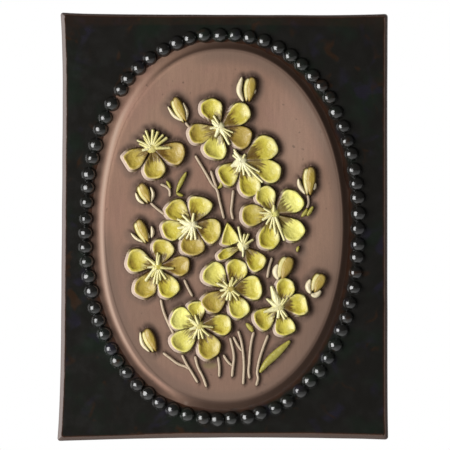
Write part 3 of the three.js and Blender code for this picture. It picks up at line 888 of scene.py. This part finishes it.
def rim_wash(x, z):
    """The dark wash along the inside of the rim, which the upper left does not have."""
    level = np.abs(x / MEDALLION_HALF[0]) ** MEDALLION_FULLNESS
    level = level + np.abs(z / MEDALLION_HALF[1]) ** MEDALLION_FULLNESS
    return 0.72 * (1 - arc(x, z, UNWASHED_ARC)) * smoothstep(0.72, 0.94, level)


def worn_and_lit_line(z):
    """How far outside the medallion's edge the pale line of its rim lies, which is partly wear and
    partly painted highlight.
    """
    line = 1.35 + 0.9 * smoothstep(28, 50, z) + 0.9 * smoothstep(-5, -40, z)
    return line - 0.7 * smoothstep(-63, -71, z)


def border_glaze(x, z, spread, inset):
    """Where the black glaze lies on the border: how much, and how thin it is."""
    bare = 2.7 * arc(x, z, LIT_ARC) + 1.8 * arc(x, z, BARE_ARC)
    inner = GLAZE_FROM_MEDALLION + bare + 0.3 * wander(x, z, 4, 5)
    along_bottom = np.where(SIDE == 0, 0.3 * wander(x, z, 30, 8), 0)
    outer = GLAZE_FROM_EDGE[SIDE] + along_bottom + 0.06 * wander(x, z, 6, 6)
    glaze = smoothstep(-0.6, 0.6, spread - inner) * smoothstep(-0.4, 0.4, inset - outer)
    thin = np.maximum(smoothstep(3.2, -0.2, spread - inner), smoothstep(0.7, 0, inset - outer))
    return glaze, np.maximum(thin, 0.22 * smoothstep(80, 96, z))


def nearest_distances(x, z, kind):
    """The distance to the nearest footprint of a kind, and the direction away from it."""
    tree = KDTree(len(footprints[kind]))
    for i, (px, pz) in enumerate(footprints[kind]):
        tree.insert((px, pz, 0), i)
    tree.balance()
    found = [tree.find((px, pz, 0)) for px, pz in zip(x.tolist(), z.tolist())]
    distance = np.array([hit[2] for hit in found])
    place = np.array([hit[0][:2] for hit in found])
    safe = distance + 1e-6
    return distance, (x - place[:, 0]) / safe, (z - place[:, 1]) / safe


def ground_paint(x, z):
    """Painted shadow at the foot of the relief on its side away from the light; the wash round the
    flower heads, partly painted occlusion shade; painted shade towards the bottom and the lower
    right; and a painted pool of light at the upper right.
    """
    head, head_x, head_z = nearest_distances(x, z, "heads")
    stems, stem_x, stem_z = nearest_distances(x, z, "stems")
    # Painted shadow: the dark foot round each head and stem lies on its side away from the light.
    lee = np.clip(0.6 + 0.7 * (head_x * 0.85 + head_z * 0.5), 0, 1)
    stem_shadow_side = np.clip(0.35 + 0.75 * (stem_x * 0.95 + stem_z * 0.2), 0, 1)
    stain = np.maximum(lee * np.exp(-((head / 2.0) ** 3)),
                       stem_shadow_side * np.exp(-((stems / 1.3) ** 3)))
    lower_right = 0.8 * x - 0.5 * z + 4 * wander(x, z, 30, 33)
    # The wash round the heads is partly painted occlusion shade. The ground also darkens towards
    # the lower right and the bottom as painted shade, and darkens at the lower left.
    wash = np.maximum.reduce([
        0.75 * smoothstep(5.2, 0.6, head + 0.9 * wander(x, z, 9, 31)),
        0.8 * smoothstep(24, 62, lower_right),
        0.5 * smoothstep(5, -18, z) * smoothstep(-15, -42, x),
        0.45 * smoothstep(-42, -78, z),
        0.2 + 0.22 * smoothstep(5, -45, z),
    ])
    # In the painted pool of light the ground is paler, with less wash and shade.
    from_light_pool = from_mark(x, z, LIGHT_POOL)
    wash = np.maximum(wash * smoothstep(0.5, 1.2, from_light_pool), rim_wash(x, z))
    return {"stain": stain, "wash": wash, "worn": 0.16 * smoothstep(1.2, 0.3, from_light_pool),
            "smear": smoothstep(1.1, 0.5, from_mark(x, z, GREEN_MARK))}


def rim_paint(x, z, spread):
    """The rim's painted shade on the arcs away from the light, with stain; on the lit arc a pale
    line, partly wear and partly painted highlight, with a painted shadow beyond it; a small pale
    spot; and the wash inside it.
    """
    lit, bare, line = arc(x, z, LIT_ARC), arc(x, z, BARE_ARC), worn_and_lit_line(z)
    lower = smoothstep(-15, -60, z)
    # The pale line along the lit arc: partly wear, partly painted highlight.
    worn = 0.6 * lit * np.exp(-(((spread - line) / (1.0 - 0.3 * lower)) ** 2))
    worn = worn * (1 - 0.7 * smoothstep(42, 60, z)) * (1 - 0.75 * smoothstep(-48, -68, z))
    worn = np.maximum(worn, 0.6 * np.exp(-(from_mark(x, z, PALE_SPOT) ** 2)))
    # Painted shade on the rim's arcs away from the light.
    shaded = (1 - lit) * smoothstep(-1.8 - lower, 0.9 - 0.5 * lower, spread) ** 1.5
    shaded = shaded * (1 - 0.55 * bare * smoothstep(0.6, 2.4, spread))
    # On the lit arc, a painted shadow from the pale line out towards the beads.
    foot = lit * smoothstep(line - 0.35, line + 3.1 - 0.9 * lower, spread)
    inner_side = smoothstep(-1.6, -0.4, spread) * smoothstep(line - 0.2, line - 1.4, spread)
    inner_side = inner_side * lit * smoothstep(10, -20, z)
    stain = np.maximum.reduce([shaded, 0.94 * foot * (1 - 0.5 * bare), 0.34 * inner_side])
    wash = rim_wash(x, z) * (1 - lit * smoothstep(line - 1.4, line - 0.2, spread))
    return {"stain": stain, "worn": worn, "wash": wash}


def add_back(body):
    """The pocket's floor and walls, then the flat back. Returns the back's outer ring."""
    centre = np.array([0, POCKET["middle"]])
    signs = np.array([(-1, -1), (1, -1), (1, 1), (-1, 1)])
    corners = centre + signs / 2 * (POCKET["width"], POCKET["height"])
    columns = zip(SIDE[::BACK_MERGE], FRACTION[::BACK_MERGE])
    mouth = np.array([lerp(corners[side], corners[(side + 1) % 4], t) for side, t in columns])
    rings = []
    for grow, depth in [(0.985, POCKET["depth"]), (1.0, POCKET["depth"] - POCKET["round"]),
                        (1.0, POCKET["round"]), (1.035, 0.0)]:
        place = centre + (mouth - centre) * grow
        rings.append(body.add(*place.T, depth - SLAB_THICKNESS))
    body.faces.append(rings[0].tolist()[::-1])
    outline_x, outline_z = slab_outline(BACK_INSET)
    for t in BACK_BLENDS:
        x = lerp(place[:, 0], outline_x[::BACK_MERGE], t)
        z = lerp(place[:, 1], outline_z[::BACK_MERGE], t)
        rings.append(body.add(x, z, -SLAB_THICKNESS))
    body.skin(rings)
    return rings[-1]


def add_side(body):
    """The rings of the slab's side and its rounded edge, slightly uneven."""
    rings = []
    for inset, depth in SLAB_SIDE:
        x, z = slab_outline(inset)
        rough = 0.05 * (1 + wander(x, z, 9, 41) / 2)
        x, z = x * (1 - rough / HIGH[0]), z * (1 - rough / HIGH[2])
        glaze, thin = border_glaze(x, z, FAR, inset) if depth else (0, 1)
        reach = SIDE_REACH[SIDE]
        # The sides that face away from the light are darkened here as painted shade.
        rings.append(body.add(x, z, depth - SLAB_THICKNESS, glaze=glaze, thin=thin,
                              side=0.85 * smoothstep(reach, reach - 1.4, inset),
                              stain=SIDE_SHADE[SIDE]))
    return rings


def sew_back_to_side(body, back, side):
    """Faces between the back's outer ring and the side's first, which has more points."""
    for i in range(len(back)):
        run = [side[(i * BACK_MERGE + k) % len(side)] for k in range(BACK_MERGE + 1)]
        face = [back[i], back[(i + 1) % len(back)], *run[::-1]]
        body.faces.append([int(index) for index in face])


def add_ground(body, unit_oval, nearness):
    """The medallion's slightly uneven top. Returns its boundary."""
    x, z = spread_oval(unit_oval, MEDALLION_RIM[0][0])
    uneven = 0.05 * wander(x, z, 12, 51) + 0.02 * wander(x * 3, z, 5, 52)
    height = MEDALLION_RISE + uneven * (1 - nearness**8)
    flat_x, flat_z = x.ravel(), z.ravel()
    ground = body.add(flat_x, flat_z, height.ravel(), **ground_paint(flat_x, flat_z))
    ground = ground.reshape(x.shape)
    quads = np.stack([ground[:-1, :-1], ground[1:, :-1], ground[1:, 1:], ground[:-1, 1:]], axis=2)
    body.faces.extend(quads.reshape(-1, 4).tolist())
    return grid_boundary(ground)


def add_border_and_rim(body, unit_oval):
    """The rings of the flat border, then those of the rim up to the medallion's top."""
    outer_x, outer_z = slab_outline(SLAB_SIDE[-1][0])
    inner_x, inner_z = spread_oval(unit_oval, MEDALLION_RIM[-1][0])
    rings = [body.add(lerp(outer_x, inner_x, t), lerp(outer_z, inner_z, t), 0, glaze=1)
             for t in BORDER_BLENDS]
    for spread, height in MEDALLION_RIM[:0:-1]:
        x, z = spread_oval(unit_oval, spread)
        glaze, thin = border_glaze(x, z, spread, FAR)
        paint = rim_paint(x, z, spread)
        rings.append(body.add(x, z, height, glaze=glaze, thin=thin, **paint))
    return rings


def plaque_body():
    body = Builder(base=0)
    back = add_back(body)
    rings = add_side(body)
    sew_back_to_side(body, back, rings[0])
    unit_oval, nearness = oval_grid()
    boundary = add_ground(body, unit_oval, nearness)
    rings += add_border_and_rim(body, [grid_boundary(values) for values in unit_oval])
    body.skin([*rings, boundary])
    mesh = body.mesh("plaque_body")
    finish_mesh(mesh, 50)
    return mesh


# ---- materials


class Shader:
    """A material's nodes, built from the inputs to the Principled BSDF."""

    def __init__(self, name):
        self.material = bpy.data.materials.new(name)
        self.material.use_nodes = True
        self.tree = self.material.node_tree
        self.bsdf = self.tree.nodes["Principled BSDF"]

    def feed(self, node, inputs):
        """Links each input to another node's output, or sets it to a constant."""
        for key, value in inputs.items():
            socket = node.inputs[key]
            if isinstance(value, bpy.types.NodeSocket):
                self.tree.links.new(value, socket)
            else:
                socket.default_value = (*value, 1) if socket.type == "RGBA" else value

    def node(self, kind, inputs, **settings):
        node = self.tree.nodes.new(kind)
        for key, value in settings.items():
            setattr(node, key, value)
        self.feed(node, inputs)
        return node

    def paint(self, name):
        """A paint value from the mesh."""
        return self.node("ShaderNodeAttribute", {}, attribute_name=name).outputs["Fac"]

    def math(self, operation, a, b):
        return self.node("ShaderNodeMath", {0: a, 1: b}, operation=operation).outputs[0]

    def times(self, a, b):
        return self.math("MULTIPLY", a, b)

    def noise(self, per_metre, detail, roughness=0.55, stretch=(1, 1, 1), distortion=0.0):
        """Noise on the surface place in metres, which may be stretched along each axis."""
        place = self.node("ShaderNodeTexCoord", {}).outputs["Object"]
        mapping = self.node("ShaderNodeMapping", {"Vector": place, "Scale": stretch})
        return self.node("ShaderNodeTexNoise", {
            "Vector": mapping.outputs["Vector"], "Scale": per_metre, "Detail": detail,
            "Roughness": roughness, "Distortion": distortion}).outputs["Fac"]

    def remap(self, value, low, high, to_low=0.0, to_high=1.0):
        return self.node("ShaderNodeMapRange", {
            "Value": value, "From Min": low, "From Max": high, "To Min": to_low,
            "To Max": to_high}, interpolation_type="SMOOTHSTEP").outputs["Result"]

    def patches(self, per_metre, detail, *levels, **noise):
        """Noise with its levels remapped."""
        return self.remap(self.noise(per_metre, detail, **noise), *levels)

    def mix(self, factor, a, b, blend="MIX"):
        """A mix of two colours, which are inputs 6 and 7 of the node, and its output 2."""
        return self.node("ShaderNodeMix", {0: factor, 6: a, 7: b}, data_type="RGBA",
                         blend_type=blend).outputs[2]

    def mix_number(self, factor, a, b):
        """A mix of two numbers, which are inputs 2 and 3 of the node, and its output 0."""
        return self.node("ShaderNodeMix", {0: factor, 2: a, 3: b}).outputs[0]

    def shade(self, colour, value):
        """The colour times a number."""
        grey = self.node("ShaderNodeCombineColor", {0: value, 1: value, 2: value})
        return self.mix(1.0, colour, grey.outputs["Color"], "MULTIPLY")

    def bump(self, height, distance, strength=1.0, **normal):
        inputs = {"Height": height, "Distance": distance, "Strength": strength, **normal}
        return self.node("ShaderNodeBump", inputs).outputs["Normal"]

    def done(self, colour, roughness, normal):
        self.feed(self.bsdf, {"Base Color": colour, "Roughness": roughness, "Normal": normal})
        return self.material


def clay_colour(s):
    """Brown clay with warm and pinkish patches, brush streaks and a few dark specks."""
    colour = s.mix(s.patches(28, 2, 0.38, 0.66), CLAY, WARM_CLAY)
    pinkish = s.patches(45, 2, 0.5, 0.72, distortion=0.6)
    colour = s.mix(s.times(pinkish, 0.45), colour, PINK_CLAY)
    colour = s.shade(colour, s.patches(1, 2, 0.3, 0.7, 0.95, 1.04, stretch=(900, 200, 70)))
    colour = s.shade(colour, s.patches(2600, 2, 0.3, 0.7, 0.9, 1.08))
    return s.mix(s.times(s.patches(420, 1, 0.735, 0.775), 0.6), colour, SPECK)


def glaze_colour(s):
    """Black glaze with faint green, blue and brown patches."""
    colour = s.mix(s.patches(60, 3, 0.45, 0.7), BLACK_GLAZE, GREEN_GLAZE)
    colour = s.mix(s.patches(85, 2, 0.56, 0.72, distortion=0.4), colour, BLUE_GLAZE)
    return s.mix(s.patches(110, 2, 0.6, 0.75, distortion=0.8), colour, BROWN_GLAZE)


def body_material():
    """Bare clay with its wash, painted shade and a painted pool of light, a pale rim line that is
    partly wear and partly painted highlight, stain and painted shadow, and black glaze that breaks
    to brown where thin.
    """
    s = Shader("brown_clay_and_black_glaze")
    colour = clay_colour(s)
    for name, amount, coat in (("wash", 1, WASH_AND_SHADE), ("smear", 0.55, GREEN_SMEAR),
                               ("worn", 1, WORN_AND_LIT_CLAY), ("side", 1, SIDE_CLAY),
                               ("stain", 0.95, SHADE_AND_STAIN)):
        colour = s.mix(s.times(s.paint(name), amount), colour, coat)
    frayed = s.math("ADD", s.paint("glaze"), s.times(s.noise(900, 3), 0.5))
    glaze = s.remap(frayed, 0.62, 0.88)
    broken = s.times(s.paint("thin"), s.patches(500, 3, 0.25, 0.6, 0.55, 1.0))
    colour = s.mix(glaze, colour, s.mix(broken, glaze_colour(s), BROKEN_GLAZE))
    roughness = s.mix_number(glaze, 0.78, s.patches(160, 3, 0.3, 0.7, 0.12, 0.24))
    clay = s.math("SUBTRACT", 1.0, glaze)
    grain = s.bump(s.noise(2600, 4, 0.7), 0.00006, clay)
    streaks = s.bump(s.noise(1, 3, stretch=(1500, 300, 110)), 0.00004, clay, Normal=grain)
    return s.done(colour, roughness, s.bump(s.noise(190, 2), 0.0001, glaze, Normal=streaks))


def bead_material():
    s = Shader("black_glaze")
    s.feed(s.bsdf, {"IOR": BEAD_IOR})
    roughness = s.patches(300, 3, 0.3, 0.7, 0.13, 0.22)
    return s.done(glaze_colour(s), roughness, s.bump(s.noise(420, 2), 0.00025))


def veins_and_eye_shadow(s):
    """Dark strokes that run out from the flower's eye along each petal, reaching further on the
    petals beyond the eye from the light, as painted shadow.
    """
    place = s.node("ShaderNodeCombineXYZ", {
        0: s.times(s.paint("aside"), 3.2), 1: s.times(s.paint("ahead"), 1.5),
        2: s.paint("seed")}).outputs[0]
    noise = s.node("ShaderNodeTexNoise", {"Vector": place, "Scale": 2.0, "Detail": 2.0})
    near_eye = s.remap(s.paint("ahead"), 0.72, 0.22)
    reach = s.math("ADD", 0.92, s.times(s.paint("lee"), 0.38))
    gaps = s.math("SUBTRACT", s.times(noise.outputs["Fac"], 2.2), 0.55)
    dark = s.math("SUBTRACT", s.times(near_eye, reach), gaps)
    return s.times(s.remap(dark, -0.2, 0.5), s.paint("petal"))


def flower_material():
    """Yellow glaze: pale on the lips, ochre in the hollows, dark along the petals' veins. Painted
    light: pale bare sides and lips and paler slopes where they face the light, ochre slopes away
    from it, the eye's painted shadow on the petals beyond it, and stain with painted shade at the
    feet.
    """
    s = Shader("yellow_glaze")
    cup = s.math("ADD", s.paint("cup"), s.patches(260, 3, 0.3, 0.7, -0.17, 0.17))
    colour = s.mix(s.remap(cup, -0.1, 0.45), PALE_YELLOW, YELLOW)
    colour = s.mix(s.remap(cup, 0.5, 1.05), colour, OCHRE)
    tone = s.paint("tone")
    colour = s.mix(s.times(s.remap(tone, 0.3, -1.0), 0.8), colour, BROWNISH_YELLOW)
    colour = s.mix(s.times(s.remap(tone, 0.3, 1.6), 0.9), colour, LEMON)
    colour = s.mix(s.times(s.paint("green"), 0.75), colour, LEAF_GREEN)
    colour = s.mix(s.paint("pale"), colour, CREAM)
    colour = s.mix(s.paint("bare"), colour, PALE_BARE_AND_LIT)
    colour = s.mix(s.times(veins_and_eye_shadow(s), 0.85), colour, VEIN_AND_EYE_SHADOW)
    stain = s.times(s.paint("stain"), s.patches(700, 3, 0.3, 0.7, 0.75, 1.0))
    colour = s.mix(stain, colour, FOOT_SHADE_AND_STAIN)
    roughness = s.patches(350, 3, 0.3, 0.7, 0.3, 0.46)
    return s.done(colour, roughness, s.bump(s.noise(520, 4), 0.0004))


def stem_material():
    s = Shader("pale_clay")
    # Pale on the crest, partly wiped glaze and partly painted highlight, and dark towards the foot
    # as painted shade.
    colour = s.mix(s.remap(s.paint("crest"), 0.3, 0.85), STEM_FOOT_SHADE, STEM_CREST)
    colour = s.shade(colour, s.patches(1200, 3, 0.3, 0.7, 0.85, 1.08))
    return s.done(colour, 0.6, s.bump(s.noise(1500, 3), 0.00008))


def floor_material():
    """A pale floor that glows a little, so that it lights the plaque softly from below."""
    s = Shader("pale_floor")
    s.feed(s.bsdf, {"Emission Color": (1, 1, 1), "Emission Strength": FLOOR_GLOW})
    colour = s.mix(s.noise(6, 2), FLOOR_GREY, FLOOR_WHITE)
    return s.done(colour, 0.8, s.bump(s.noise(40, 2), 0.0002))


# ---- pieces


def make_pieces():
    yellow, pale_clay = flower_material(), stem_material()
    for number, spec in enumerate(FLOWERS, start=1):
        add_piece(f"flower_{number:02d}", flower(number, **spec), yellow)
    buds = [lobe for spec in BUDS for lobe in bud(*spec)]
    buds += [sepal(*spec) for spec in SEPALS]
    add_piece("buds", fuse("buds", buds), yellow)
    leaves = [leaf(*spec) for spec in LEAVES]
    add_piece("leaves", fuse("leaves", leaves), yellow)
    stems = [stem(points) for points in STEMS]
    add_piece("stems", fuse("stems", stems), pale_clay)
    add_piece("bead_ring", bead_ring(), bead_material())
    add_piece("plaque_body", plaque_body(), body_material())


# ---- studio


def make_camera():
    data = bpy.data.cameras.new("camera")
    data.lens = data.sensor_width * (CAMERA_DISTANCE - SLAB_THICKNESS * MM) / VIEW_WIDTH
    camera = new_object("camera", data)
    camera.location = (CAMERA_AIM[0], -CAMERA_DISTANCE, CAMERA_AIM[1])
    camera.rotation_euler = (math.pi / 2, 0, 0)
    bpy.context.scene.camera = camera


def add_light(name, side, distance, size, power):
    """A soft square light that looks at the plaque from a side, given as a direction."""
    data = bpy.data.lights.new(name, "AREA")
    data.size = size
    data.energy = power
    lamp = new_object(name, data)
    towards = Vector(side).normalized()
    lamp.location = towards * distance
    lamp.rotation_euler = towards.to_track_quat("Z", "Y").to_euler()
    lamp.visible_camera = False


def make_world():
    """A dim room, which the camera sees as white."""
    world = bpy.data.worlds.new("studio")
    bpy.context.scene.world = world
    world.use_nodes = True
    tree = world.node_tree
    dim = tree.nodes["Background"]
    dim.inputs["Color"].default_value = ROOM_COLOUR
    dim.inputs["Strength"].default_value = ROOM_STRENGTH
    white = tree.nodes.new("ShaderNodeBackground")
    white.inputs["Color"].default_value = (1, 1, 1, 1)
    path = tree.nodes.new("ShaderNodeLightPath")
    mix = tree.nodes.new("ShaderNodeMixShader")
    tree.links.new(path.outputs["Is Camera Ray"], mix.inputs["Fac"])
    tree.links.new(dim.outputs[0], mix.inputs[1])
    tree.links.new(white.outputs[0], mix.inputs[2])
    tree.links.new(mix.outputs[0], tree.nodes["World Output"].inputs["Surface"])


def make_floor():
    bpy.ops.mesh.primitive_grid_add(x_subdivisions=8, y_subdivisions=8, size=FLOOR_SIZE,
                                    location=FLOOR_PLACE)
    floor = bpy.context.object
    floor.name = "floor"
    floor.data.materials.append(floor_material())


def make_studio():
    make_camera()
    make_world()
    make_floor()
    for light in LIGHTS:
        add_light(*light)
    bpy.context.scene.view_settings.view_transform = "Standard"


make_pieces()
make_studio()
